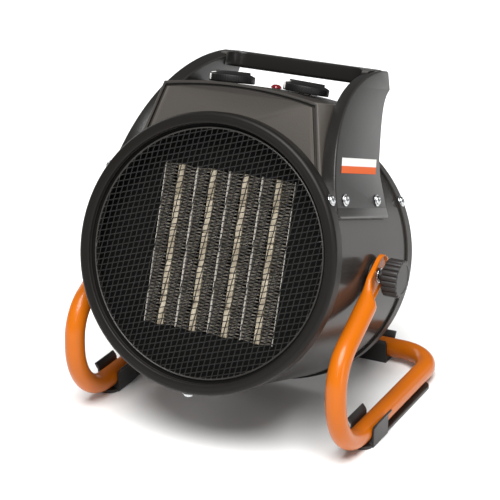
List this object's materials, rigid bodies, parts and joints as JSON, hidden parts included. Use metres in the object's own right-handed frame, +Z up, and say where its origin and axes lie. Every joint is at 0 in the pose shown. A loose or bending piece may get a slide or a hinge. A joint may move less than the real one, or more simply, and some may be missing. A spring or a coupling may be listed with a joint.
{
  "type": "ceramic space heater",
  "caption": "Round fan heater with a folded-fin ceramic heating block behind a wire guard, tilting between clamp knobs in a bent-tube stand, with a bail handle and top controls.",
  "frame": {"origin": "centre of the bounding box on the floor, under the heater", "axes": "+Z up, -Y out of the heater's front, +X to the viewer's right when the front faces the viewer"},
  "size_m": [0.2424, 0.2378, 0.2542],
  "materials": {
    "orange_paint": "glossy powder coat on steel tube",
    "graphite_paint": "satin powder coat on sheet steel",
    "black_plastic": "lightly textured moulded plastic",
    "knob_plastic": "moulded plastic",
    "foot_rubber": "moulded hard rubber",
    "black_wire": "black coated steel wire",
    "black_sheet": "heat resistant black paint on sheet steel",
    "ptc_ceramic": "heating stones in an insulating sleeve",
    "fin_aluminium": "folded aluminium foil",
    "holder_resin": "heat resistant moulding",
    "zinc": "bright zinc plate",
    "fan_metal": "pressed sheet",
    "motor_steel": "laminations and pressed sheet",
    "control_case": "moulded control bodies",
    "red_lens": "clear tinted moulding",
    "label_film": "printed film with no lettering",
    "grommet_rubber": "soft rubber"
  },
  "bodies": {
    "stand": {"stand_tube": "orange_paint", "foot_strip_left": "foot_rubber", "foot_strip_right": "foot_rubber", "foot_strip_rear": "foot_rubber"},
    "drum": {"drum_shell": "graphite_paint", "front_ring": "graphite_paint", "rear_ring": "graphite_paint", "rear_guard": "graphite_paint", "handle": "black_plastic", "control_box": "black_plastic", "friction_spacer_left": "black_plastic", "friction_spacer_right": "black_plastic", "front_guard": "black_wire", "baffle_plate": "black_sheet", "ptc_rod_1": "ptc_ceramic", "ptc_rod_2": "ptc_ceramic", "ptc_rod_3": "ptc_ceramic", "ptc_rod_4": "ptc_ceramic", "fin_pack_1a": "fin_aluminium", "fin_pack_1b": "fin_aluminium", "fin_pack_2a": "fin_aluminium", "fin_pack_2b": "fin_aluminium", "fin_pack_3a": "fin_aluminium", "fin_pack_3b": "fin_aluminium", "fin_pack_4a": "fin_aluminium", "fin_pack_4b": "fin_aluminium", "block_holder_top": "holder_resin", "block_holder_bottom": "holder_resin", "pivot_nut_left": "zinc", "pivot_nut_right": "zinc", "thermal_cutout": "zinc", "front_screw_1": "zinc", "front_screw_2": "zinc", "front_screw_3": "zinc", "rear_screw_1": "zinc", "rear_screw_2": "zinc", "rear_screw_3": "zinc", "handle_screw_left_front": "zinc", "handle_screw_left_rear": "zinc", "handle_screw_right_front": "zinc", "handle_screw_right_rear": "zinc", "motor_can": "motor_steel", "motor_spider": "motor_steel", "selector_switch": "control_case", "thermostat_body": "control_case", "lamp_socket": "control_case", "lamp_lens": "red_lens", "side_label": "label_film", "cord_grommet": "grommet_rubber"},
    "fan": {"fan_impeller": "fan_metal", "motor_shaft": "zinc"},
    "washer_left": {"clamp_washer_left": "zinc"},
    "clamp_left": {"clamp_knob_left": "knob_plastic"},
    "washer_right": {"clamp_washer_right": "zinc"},
    "clamp_right": {"clamp_knob_right": "knob_plastic"},
    "selector": {"selector_knob": "knob_plastic"},
    "thermostat": {"thermostat_knob": "knob_plastic"}
  },
  "joints": [
    {"name": "drum_tilt", "type": "hinge", "parent": "stand", "child": "drum", "pos_m": [0, -0.0144, 0.1221], "axis": [1, 0, 0], "range_deg": [-2.5, 17.9]},
    {"name": "fan_spin", "type": "hinge", "parent": "drum", "child": "fan", "pos_m": [0, -0.02201, 0.12456], "axis": [0, -0.9516, 0.3074], "continuous": true},
    {"name": "clamp_travel_left", "type": "slide", "parent": "drum", "child": "washer_left", "axis": [-1, 0, 0], "range_m": [0, 0.0016]},
    {"name": "clamp_turn_left", "type": "hinge", "parent": "washer_left", "child": "clamp_left", "pos_m": [0, -0.0144, 0.1221], "axis": [-1, 0, 0], "range_deg": [0, 540]},
    {"name": "clamp_travel_right", "type": "slide", "parent": "drum", "child": "washer_right", "axis": [1, 0, 0], "range_m": [0, 0.0016]},
    {"name": "clamp_turn_right", "type": "hinge", "parent": "washer_right", "child": "clamp_right", "pos_m": [0, -0.0144, 0.1221], "axis": [1, 0, 0], "range_deg": [0, 540]},
    {"name": "selector_turn", "type": "hinge", "parent": "drum", "child": "selector", "pos_m": [-0.0295, 0.01383, 0.23877], "axis": [-0.0436, 0.3071, 0.9507], "range_deg": [0, 135]},
    {"name": "thermostat_turn", "type": "hinge", "parent": "drum", "child": "thermostat", "pos_m": [0.0295, 0.01383, 0.23877], "axis": [0.0436, 0.3071, 0.9507], "range_deg": [0, 270]}
  ],
  "couplings": [
    {"joint": "clamp_travel_left", "follows": "clamp_turn_left", "m_per_rad": 0.00015915},
    {"joint": "clamp_travel_right", "follows": "clamp_turn_right", "m_per_rad": 0.00015915}
  ]
}
